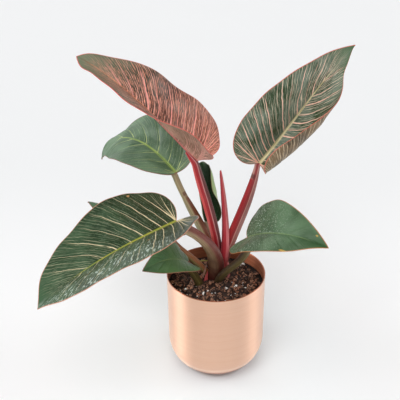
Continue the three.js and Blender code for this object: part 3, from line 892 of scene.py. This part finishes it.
# %% Build the skin of an underside
def under_skin(name, look):
    """A paler ground with soft streaks, fine lines, a stout rib and the same coloured edge."""
    material, start = start_material(f"under_{name}")
    blade = blade_pattern(start, leaf_shapes[name], look, 5.3, 2.4)
    place = start.place()
    veins = blade.veins * blade.reach.step(1.02, 0.6)
    colour = overlay(
        start.noise(place, scale=45).step(0.35, 0.65).blend(look.under_deep, look.under_pale),
        (blade.hairs * look.under_strength, look.under_hair),
        (blade.lines * look.under_strength, look.under_line),
        (veins * 0.6, look.under_line),
        (abs(blade.across).step(3.2, 1.2) * blade.lengthwise.step(1.0, 0.75) * 0.8, look.under_rib),
        (blade.margin, look.margin),
    )
    grain = start.noise(place, scale=1300)
    height = grain * 0.3 + blade.hairs * 0.4 + blade.lines * 0.4 + veins * 0.8
    finish_material(start, colour, look.roughness + 0.12 + grain * 0.08, height, 0.0002)
    return material


print("skin of the underside ready")

# %% [markdown]
# ## The looks of the leaves
# No two leaves of this plant are marked alike. The youngest are red-brown or dark with pink and cream
# streaks, and the older ones are plain green. Each look lists its colours as a screen would show them.

# %% Choose the colours of each leaf
plain_look = dict(
    deep=(46, 78, 48), pale=(70, 104, 68),
    hair=(84, 118, 80), hair_count=150, hair_width=0.35, hair_strength=0.3,
    line=(106, 138, 98), line_count=60, line_width=0.4, line_strength=0.3,
    fade=(0.75, 1.0), foot_clear=0, flecks=0, specks=0.15, shine=0.4,
    base=(70, 104, 68), base_strength=0, marks=(), mark=(208, 164, 72),
    vein=(112, 144, 98), vein_width=0.6, vein_gaps=(0.2, 0.5), vein_end=0.6,
    vein_strength=0.25, tip=(58, 92, 54), tip_from=0.8,
    rib=(128, 152, 84), rib_edge=(104, 134, 80), rib_width=1.3, rib_reach=0.9,
    rib_strength=0.55, margin=(150, 92, 74), margin_width=0.55, roughness=0.3,
    under_deep=(110, 134, 98), under_pale=(130, 152, 112), under_hair=(142, 162, 122),
    under_line=(158, 176, 136), under_strength=0.4, under_rib=(150, 160, 112),
)


def leaf_look(**changes):
    """The plain look, with the values that differ on this leaf."""
    return SimpleNamespace(**{**plain_look, **changes})


leaf_looks = {
    "pink": leaf_look(
        shine=0.3, base=(158, 92, 74), base_strength=0.6,
        # The pale colour here is painted sheen, a grey light on the glossy blade
        deep=(40, 26, 18), pale=(108, 94, 82),
        hair=(238, 156, 130), hair_count=126, hair_width=0.38, hair_strength=1.0,
        line=(252, 182, 162), line_count=62, line_width=0.34, line_strength=1.0,
        fade=(0.5, 1.04), vein=(252, 164, 152), vein_width=0.85, vein_gaps=(0.1, 0.35),
        vein_end=0.7, vein_strength=1.0, tip=(98, 112, 88), tip_from=0.45,
        rib=(226, 148, 108), rib_edge=(186, 116, 84), rib_width=1.0, rib_reach=1.0,
        rib_strength=0.8, margin=(214, 100, 90), margin_width=0.6,
        under_deep=(138, 96, 76), under_pale=(184, 138, 118),
        under_hair=(224, 180, 162), under_line=(236, 170, 156), under_strength=0.8,
        under_rib=(206, 90, 92),
    ),
    "striped": leaf_look(
        shine=0.35, foot_clear=0.5,
        # The pale colour here is painted sheen, a grey light on the glossy blade
        deep=(42, 62, 32), pale=(104, 118, 102),
        hair=(180, 182, 158), hair_count=126, hair_width=0.3, hair_strength=0.85,
        line=(240, 214, 188), line_count=62, line_width=0.32, line_strength=0.9,
        fade=(0.72, 0.97), vein=(255, 202, 180), vein_width=0.72, vein_gaps=(0.12, 0.35),
        vein_end=0.8, vein_strength=1.0, tip=(50, 92, 44), tip_from=0.7,
        rib=(240, 226, 182), rib_edge=(196, 182, 134), rib_width=2.7, rib_reach=0.9,
        rib_strength=0.95, margin=(200, 104, 86), margin_width=0.6,
        under_deep=(58, 46, 26), under_pale=(112, 90, 62),
        under_hair=(166, 142, 110), under_line=(214, 192, 160), under_strength=0.85,
        under_rib=(150, 70, 66),
    ),
    "left": leaf_look(
        deep=(62, 94, 62), pale=(96, 126, 94), hair=(104, 134, 104),
        line=(166, 190, 142), line_count=40, line_width=0.24, line_strength=0.6,
        fade=(0.55, 0.9), vein=(196, 214, 140), vein_gaps=(0.3, 0.5), vein_width=0.9,
        vein_end=0.15, vein_strength=0.95,
        rib=(180, 204, 100), rib_edge=(120, 152, 80), rib_width=2.8, rib_reach=0.75,
        rib_strength=0.75, margin=(146, 92, 76), roughness=0.36,
    ),
    "front": leaf_look(
        deep=(22, 50, 18), pale=(54, 82, 52), shine=0.38, foot_clear=0.7,
        base=(34, 36, 18), base_strength=0.55,
        marks=((22.6, 47, 1.2, 1.4), (-50, 34, 1.2, 1.8)), mark=(216, 160, 104),
        hair=(112, 130, 98), hair_count=116, hair_width=0.32, hair_strength=0.75,
        line=(186, 184, 148), line_count=62, line_width=0.25, line_strength=0.65,
        fade=(0.78, 0.97), flecks=0.6,
        vein=(240, 222, 180), vein_width=0.62, vein_gaps=(0.22, 0.42), vein_end=0.7,
        vein_strength=0.95, tip=(52, 88, 54), tip_from=0.85,
        rib=(176, 172, 66), rib_edge=(140, 152, 64), rib_width=2.3, rib_reach=0.8,
        rib_strength=0.95, margin=(196, 138, 114), margin_width=0.6, roughness=0.22,
        under_deep=(120, 118, 92), under_pale=(146, 142, 114),
        under_hair=(164, 156, 126), under_line=(190, 176, 146), under_rib=(150, 120, 90),
    ),
    "right": leaf_look(
        deep=(54, 84, 50), pale=(84, 114, 80), margin=(180, 112, 62),
        specks=0.8, marks=((-23.4, 80.5, 1.2, 4.8), (7.6, 106.5, 1.0, 1.5)),
        vein_strength=0.12, line_strength=0.12, hair_strength=0.15,
    ),
    "back": leaf_look(
        # Painted shade: this leaf's own green is made darker for the shade it stands in
        deep=(22, 44, 22), pale=(32, 58, 30), line_strength=0.1,
        under_deep=(136, 160, 100), under_pale=(156, 180, 118), under_hair=(170, 192, 134),
        under_line=(180, 200, 144), margin=(120, 110, 70),
    ),
    "left_back": leaf_look(margin=(150, 90, 74)),
    "low": leaf_look(
        deep=(58, 98, 46), pale=(88, 126, 70), margin=(156, 104, 80),
        vein_strength=0.15, line_strength=0.15,
    ),
}
print("leaf looks:", len(leaf_looks))

# %% Make the blades
for name, look in leaf_looks.items():
    make_blade(name, upper_skin(name, look), under_skin(name, look))

# %% [markdown]
# ## The stalks
# A stalk is a tube carried along a smooth curve, with a section that thins towards the blade. Lower down,
# the two wings of its sheath stand out at its sides. Under the blade it bends over and runs out into the rib.

# %% List the stalks
def stalk(low, middle, high, foot, neck, sheath, wings):
    """A stalk's three lower points, which pull its curve, its radii, and its sheath's reach and breadth."""
    return SimpleNamespace(route=(low, middle, high), foot=foot, neck=neck, sheath=sheath, wings=wings)


stalk_shapes = {
    "pink": stalk((3, 16, 130), (4, 11, 181), (-13, 5, 232), 3.6, 4.2, 0.97, 0.48),
    "striped": stalk((6, 18, 126), (15, 10, 176), (39, 2, 225), 3.6, 3.4, 0.95, 0.95),
    "left": stalk((-4, 22, 123), (-1, 22, 167), (-35, 30, 204), 4, 3.8, 0.78, 0.6),
    "front": stalk((-5, 12, 111), (12, -1, 153), (-11, -14, 194), 7.6, 5.8, 0.66, 0.3),
    "right": stalk((2, 6, 111), (4, -6, 140), (37, -21, 159), 4.9, 4.5, 0.3, 0.1),
    "back": stalk((1, 25, 116), (2, 30, 140), (-5, 29, 164), 3.4, 3, 0.4, 0.2),
    "left_back": stalk((-7, 14, 111), (-17, 19, 133), (-42, 21, 145), 4.4, 4, 0.75, 0.2),
    "low": stalk((-20, -2, 108), (-20, -5, 125), (-29, -9, 139), 5, 4.2, 0.6, 0.1),
}
print("stalks:", len(stalk_shapes))

# %% Carry a section along a line
tube_sides = 36
front_way = np.array([0.0, -1.0, 0.0])


def unit(vectors):
    """Vectors over their own lengths."""
    return vectors / np.linalg.norm(vectors, axis=-1, keepdims=True)


def bezier(route, share):
    """A smooth curve from four points, each with its cubic weight."""
    rest = 1 - share
    weights = np.stack([rest**3, 3 * rest**2 * share, 3 * rest * share**2, share**3], -1)
    return weights @ np.array(route, float)


def tube(centres, across, lean, facing=front_way, wing=0.0):
    """A closed tube round a line of centres, with its two ends drawn in to points. Its section is an ellipse
    whose two sides are drawn out to wings. The third result says where each point faces: how much to the
    right, how much to the front, and how far along it is."""
    sized = np.ones((len(centres), 1))
    sized[[0, -1]] = 0
    along = unit(np.gradient(centres, axis=0))
    across_way = unit(np.cross(along, facing))
    lean_way = np.cross(across_way, along)
    angles = np.linspace(0, 2 * np.pi, tube_sides, endpoint=False)
    wing = np.broadcast_to(wing, across.shape)[:, None]
    outward = across[:, None] * sized * (1 + wing * np.abs(np.cos(angles)) ** 3) * np.cos(angles)
    leaning = lean[:, None] * sized * np.sin(angles)
    offsets = outward[..., None] * across_way[:, None] + leaning[..., None] * lean_way[:, None]
    points = (centres[:, None] + offsets).reshape(-1, 3)
    front = unit(front_way - along * (along @ front_way)[:, None])
    pointing = offsets / np.maximum(np.linalg.norm(offsets, axis=-1, keepdims=True), 1e-6)
    to_right = np.einsum("nmk,nk->nm", pointing, np.cross(along, front))
    to_front = np.einsum("nmk,nk->nm", pointing, front)
    share = np.repeat(np.linspace(0, 1, len(centres))[:, None], tube_sides, axis=1)
    around = np.stack([to_right, to_front, share], -1).reshape(-1, 3)
    return points, grid_faces(len(centres), tube_sides, ring=True), around


def make_tube(name, shape, skin, nodes):
    """Makes a piece of a tube's points, faces and directions."""
    points, faces, around = shape
    return make_piece(name, points, faces, [skin], nodes, values={"around": around})


print("a section has", tube_sides, "sides")

# %% Run each stalk up to its blade
stalk_taper = 1.5
sheath_fullness = 5
stalk_rows = 110
neck_drop = 0.9
run_rows = 16
run_length = 0.09
run_thinning = (0.45, 0.6)
corner_smoothings = 6


def stalk_line(name):
    """The stalk's curve up to the blade, then a run under the rib, with the corner between them rounded."""
    leaf = leaf_shapes[name]
    shape = stalk_shapes[name]
    up = rib_frame(leaf, np.zeros(1))[2][0]
    top = np.array(leaf.foot) - up * shape.neck * neck_drop
    curve = bezier([*shape.route, top], np.linspace(0, 1, stalk_rows))
    reach = np.linspace(0.5, run_length * leaf.length, run_rows)
    sunk = shape.neck * (1 - run_thinning[0] * reach / reach[-1])
    run = rib_places(leaf, reach) - rib_frame(leaf, reach / leaf.length)[2] * sunk[:, None]
    line = np.concatenate([curve, run])
    for _ in range(corner_smoothings):
        line[1:-1] = (line[:-2] + 2 * line[1:-1] + line[2:]) / 4
    return line


def make_stalk(name, skin):
    """The stalk's section: thick at the foot, thin at the neck, winged up to the end of the sheath."""
    shape = stalk_shapes[name]
    line = stalk_line(name)
    rows = np.arange(len(line))
    share = np.clip(rows / (stalk_rows - 1), 0, 1)
    beyond = np.clip((rows - stalk_rows) / (len(line) - 1 - stalk_rows), 0, 1)
    radius = shape.neck + (shape.foot - shape.neck) * (1 - share) ** stalk_taper
    radius = radius * (1 - run_thinning[1] * beyond)
    wing = shape.wings * np.maximum(1 - (share / shape.sheath) ** sheath_fullness, 0)
    make_tube(f"stem_{name}", tube(line, radius, radius, wing=wing), skin, [f"stalk_{name}"])


front_steps = np.linalg.norm(np.diff(stalk_line("front"), axis=0), axis=1)
print("the front stalk is", front_steps.sum().round(), "mm long")


# %% Finish the stalks
def stalk_skin(name, colours, ridge_highlight_at=0.4, foot_shade_to=0.3, left_to=1.2, right_to=1.2):
    """Colours of the left side, the middle, the right side, the paler ridge between them, which carries a
    painted highlight on the side that faces the front, and the foot, which is partly the stalk's own dark red
    and partly painted shade low down.
    Each side keeps its colour up to the share left_to or right_to, where a sheath ends in a dark lip."""
    left, middle, right, ridge, foot = colours
    material, start = start_material(f"skin_{name}")
    to_right, to_front, share = start.attribute("around", 1).parts()
    strands = start.noise(start.vector(to_right * 14, to_front * 14, share * 4), detail=3)
    mottle = start.noise(start.place(), scale=110, detail=3)
    side = to_right + (start.noise(start.vector(share * 5, 0.3, 0.7)) - 0.5) * 0.3
    left_side = share.step(left_to, left_to - 0.03).blend(ridge, left)
    # Painted highlight: a pale band on the ridge, only on the side that faces the front
    ridge_highlight_mask = abs(side - ridge_highlight_at).step(0.22, 0.04) * to_front.step(-0.2, 0.2)
    left_lip = abs(share - left_to).step(0.022, 0.008) * to_right.step(0.3, -0.2)
    right_lip = abs(share - right_to).step(0.022, 0.008) * to_right.step(-0.2, 0.3)
    colour = overlay(
        side.step(-0.75, -0.3).blend(left_side, middle),
        (side.step(0.1, 0.7) * share.step(right_to, right_to - 0.05), right),
        (ridge_highlight_mask * 0.85, ridge),
        (strands.step(0.5, 0.68) * 0.22, ridge),
        (strands.step(0.45, 0.3) * 0.35, foot),
        # Painted shade: lower down the stalk darkens to the foot colour, over its own dark red
        ((share + (mottle - 0.5) * 0.3).step(foot_shade_to, 0.0), foot),
        (left_lip.larger(right_lip) * 0.8, foot),
    )
    finish_material(start, colour, 0.3 + strands * 0.12, strands + mottle * 0.3, 0.0004)
    return material


# Each stalk's colours are its left side, its middle, its right side, its ridge with its painted highlight and
# its foot with its painted shade
pink_colours = ((222, 88, 86), (170, 18, 32), (106, 46, 44), (222, 150, 150), (104, 30, 32))
striped_colours = ((158, 14, 24), (140, 34, 38), (148, 92, 84), (204, 148, 136), (84, 26, 26))
left_colours = ((170, 162, 128), (156, 140, 104), (116, 58, 38), (178, 164, 126), (104, 52, 40))
front_colours = ((184, 156, 120), (168, 142, 108), (136, 72, 62), (206, 176, 142), (62, 14, 12))
right_colours = ((70, 54, 36), (92, 80, 48), (100, 88, 56), (120, 110, 72), (64, 52, 32))
back_colours = ((160, 146, 116), (176, 164, 134), (168, 152, 124), (190, 180, 150), (130, 112, 84))
left_back_colours = ((84, 42, 30), (116, 102, 58), (160, 98, 54), (140, 122, 72), (106, 56, 38))
low_colours = ((64, 50, 24), (88, 78, 40), (84, 72, 36), (108, 98, 54), (66, 50, 26))
stalk_skins = {
    "pink": stalk_skin("pink", pink_colours, ridge_highlight_at=0.5),
    "striped": stalk_skin("striped", striped_colours, left_to=0.78),
    "left": stalk_skin("left", left_colours, ridge_highlight_at=0, right_to=0.71),
    "front": stalk_skin("front", front_colours, ridge_highlight_at=-0.3, foot_shade_to=0.85),
    "right": stalk_skin("right", right_colours),
    "back": stalk_skin("back", back_colours),
    "left_back": stalk_skin("left_back", left_back_colours, ridge_highlight_at=0.1),
    "low": stalk_skin("low", low_colours),
}
for name, skin in stalk_skins.items():
    make_stalk(name, skin)

# %% [markdown]
# ## The spear, the crown and the dry scales
# The youngest leaf is still rolled up, so its section is a spiral: the radius grows round the turn and
# drops back at the free edge, which winds up the spear. The crown is a rounded stump. The dry scales are
# thin strips, which the older leaves left behind.

# %% Make the spear
spear_route = ((7, 12, 126), (15, 7, 175), (10, 1, 223), (5, -4, 272.5))
spear_radius = 5.6
spear_tip = 0.5
spear_wind = 0.35
spear_step = 0.16
spear_seam = 0.12
spear_share = np.linspace(0, 1, 120)
spear_size = spear_tip + (spear_radius - spear_tip) * np.sqrt(1 - spear_share)
spear_line = bezier(spear_route, spear_share)
spear_points, spear_faces, spear_around = tube(spear_line, spear_size, spear_size)
round_share = np.linspace(0, 1, tube_sides, endpoint=False)
rolled = (round_share - spear_wind * spear_share[:, None] - spear_seam) % 1
swelling = (1 + spear_step * rolled).reshape(-1, 1) / (1 + spear_step / 2)
spear_centres = np.repeat(spear_line, tube_sides, axis=0)
spear_points = spear_centres + (spear_points - spear_centres) * swelling
spear_colours = ((138, 18, 32), (178, 46, 56), (202, 108, 110), (214, 116, 118), (128, 46, 44))
spear_skin = stalk_skin("spear", spear_colours)
make_tube("spear_leaf", (spear_points, spear_faces, spear_around), spear_skin, ["spear"])

# %% Make the crown
crown_place = (1, 17)
crown_radius = 8
crown_foot = 72
crown_top = 133
crown_dome = 14
crown_sides = 64
crown_ridges = 5
crown_turn = np.linspace(0, np.pi / 2, 16)
crown_radii = np.concatenate([[0, crown_radius * 0.8], crown_radius * np.cos(crown_turn)])
crown_rise = crown_top - crown_dome + crown_dome * np.sin(crown_turn)
crown_heights = np.concatenate([[crown_foot, crown_foot], crown_rise])
crown_points = revolve(crown_radii, crown_heights, crown_sides)
crown_angle = np.arctan2(crown_points[:, 1], crown_points[:, 0])
ridges = 1 - 0.06 * np.cos(crown_ridges * crown_angle + crown_points[:, 2] * 0.2) ** 2
crown_points[:, :2] = crown_points[:, :2] * ridges[:, None] + crown_place
crown_faces = grid_faces(len(crown_radii), crown_sides, ring=True)

crown_skin, start = start_material("crown_skin")
place = start.place()
ringing = start.noise(place.scaled(60, 60, 500), detail=3)
crown_colour = ringing.blend((62, 22, 22), (122, 52, 44))
finish_material(start, crown_colour, 0.45 + ringing * 0.2, ringing, 0.0006)
make_piece("crown_stump", crown_points, crown_faces, [crown_skin], ["crown"])

# %% Make the dry scales
husk_rows = 50
husk_thickness = 0.5
husk_shapes = {
    "front": SimpleNamespace(
        route=((-13, 3, 111), (-13, 2, 118), (-12, 3, 124), (-10, 5, 130)),
        width=2.6, facing=(0, -1, 0), inner=(150, 34, 44), outer=(196, 88, 84),
    ),
    "side": SimpleNamespace(
        route=((15, 10, 111), (17, 9, 124), (16, 10, 135), (12, 14, 146)),
        width=3.4, facing=(1, -0.6, 0), inner=(176, 66, 68), outer=(206, 140, 134),
    ),
    "curled": SimpleNamespace(
        route=((-18, 10, 111), (-17, 8, 122), (-11, 3, 134), (-12, 1, 147)),
        width=2.4, facing=(-1, -0.3, 0), inner=(120, 72, 58), outer=(182, 138, 118),
    ),
}


def husk_skin(name, inner, outer):
    """Papery strands along the strip, between two colours."""
    material, start = start_material(f"skin_scale_{name}")
    to_right, to_front, share = start.attribute("around", 1).parts()
    strands = start.noise(start.vector(to_right * 7, to_front * 7, share * 3), detail=3)
    colour = strands.step(0.35, 0.65).blend(inner, outer)
    finish_material(start, colour, 0.5 + strands * 0.2, strands, 0.0004)
    return material


husk_share = np.linspace(0, 1, husk_rows)
for name, shape in husk_shapes.items():
    width = shape.width * (1 - 0.85 * husk_share**2)
    thickness = np.full(husk_rows, husk_thickness)
    husk = tube(bezier(shape.route, husk_share), width, thickness, np.array(shape.facing, float))
    make_tube(f"husk_{name}", husk, husk_skin(name, shape.inner, shape.outer), [f"scale_{name}"])

# %% Make the yellow-green twig that lies on the soil
twig_route = ((-26, 40, 118.5), (-20, 44, 121.5), (-10, 42, 121), (-2, 44, 118.5))
twig_share = np.linspace(0, 1, 40)
twig_size = 0.9 - 0.4 * twig_share
twig_colours = ((150, 138, 52), (184, 176, 84), (170, 160, 76), (206, 198, 116), (120, 110, 40))
twig_tube = tube(bezier(twig_route, twig_share), twig_size, twig_size)
twig_piece = make_tube("twig", twig_tube, stalk_skin("twig", twig_colours), [])

# %% [markdown]
# ## Floor and light
# The studio is plain: a pale floor that is a little darker far off, a surround that is brighter near the
# horizon, and broad soft lights. They are sun lamps with a broad disc, so the floor is lit evenly. One in
# front lights matt surfaces only, and those called a shine add gloss only. The lights at the sides make the
# upright bright bands on the pot. Near the pot the floor is a little cooler, which makes up for the warm
# light that the copper throws on it, and right under the rounded base a contact shadow is painted on it.

# %% Lay the floor
floor_reach = 6
floor_level = -0.0003
floor_mesh = bpy.data.meshes.new("floor")
floor_ways = ((-1, -1), (1, -1), (1, 1), (-1, 1))
floor_corners = [(floor_reach * x, floor_reach * y, floor_level) for x, y in floor_ways]
floor_mesh.from_pydata(floor_corners, [], [(0, 1, 2, 3)])
floor = bpy.data.objects.new("floor", floor_mesh)
bpy.context.scene.collection.objects.link(floor)
floor_skin, start = start_material("pale_floor")
place = start.place()
cloud = start.noise(place, scale=3, detail=3)
_, along, _ = place.parts()
from_pot = place.from_axis()
floor_colour = overlay(
    (along.step(0.0, 0.6) * 0.9 + cloud * 0.1).blend((250, 250, 251), (238, 239, 240)),
    (from_pot.step(0.24, 0.05), (246, 252, 255)),
    # Painted shadow: the contact shadow right under the pot's rounded base
    (from_pot.step(0.042, 0.034) * 0.55, (126, 84, 62)),
)
finish_material(start, floor_colour, 0.8 + cloud * 0.1, cloud, 0.0001, Specular_IOR_Level=0.1)
floor_mesh.materials.append(floor_skin)

print("floor", 2 * floor_reach, "m wide")

# %% Light the scene
world = bpy.data.worlds.new("surround")
world.use_nodes = True
sky = Wire(world.node_tree)
upward = sky.node("ShaderNodeTexCoord").parts()[2]
brightness = upward.step(0.6, 0.05) * 0.5 + 0.34
background = world.node_tree.nodes["Background"]
background.inputs[0].default_value = (1, 1, 1, 1)
world.node_tree.links.new(brightness.socket, background.inputs[1])
bpy.context.scene.world = world


def far_light(name, direction, height, breadth, strength, matt=True, gloss=True):
    """A light too far off to fade. Its direction is an angle from the right, counted through the back.
    Without matt or without gloss, that part of a surface's light leaves it out."""
    data = bpy.data.lights.new(name, "SUN")
    data.energy = strength
    data.angle = math.radians(breadth)
    light = bpy.data.objects.new(name, data)
    light.rotation_euler = (math.radians(90 - height), 0, math.radians(direction + 90))
    light.visible_diffuse = matt
    light.visible_glossy = gloss
    bpy.context.scene.collection.objects.link(light)


far_light("front_light", 256, 50, 50, 1.75, gloss=False)
far_light("left_light", 183, 32, 30, 0.55)
far_light("left_shine", 181, 32, 26, 1.5, matt=False)
far_light("right_light", 4, 30, 30, 0.35)
far_light("right_shine", 4, 30, 26, 0.75, matt=False)
far_light("edge_shine", 132, 30, 36, 0.5, matt=False)
far_light("front_shine", 270, 42, 80, 0.6, matt=False)
far_light("back_light", 105, 48, 40, 0.25)
print("lights ready")
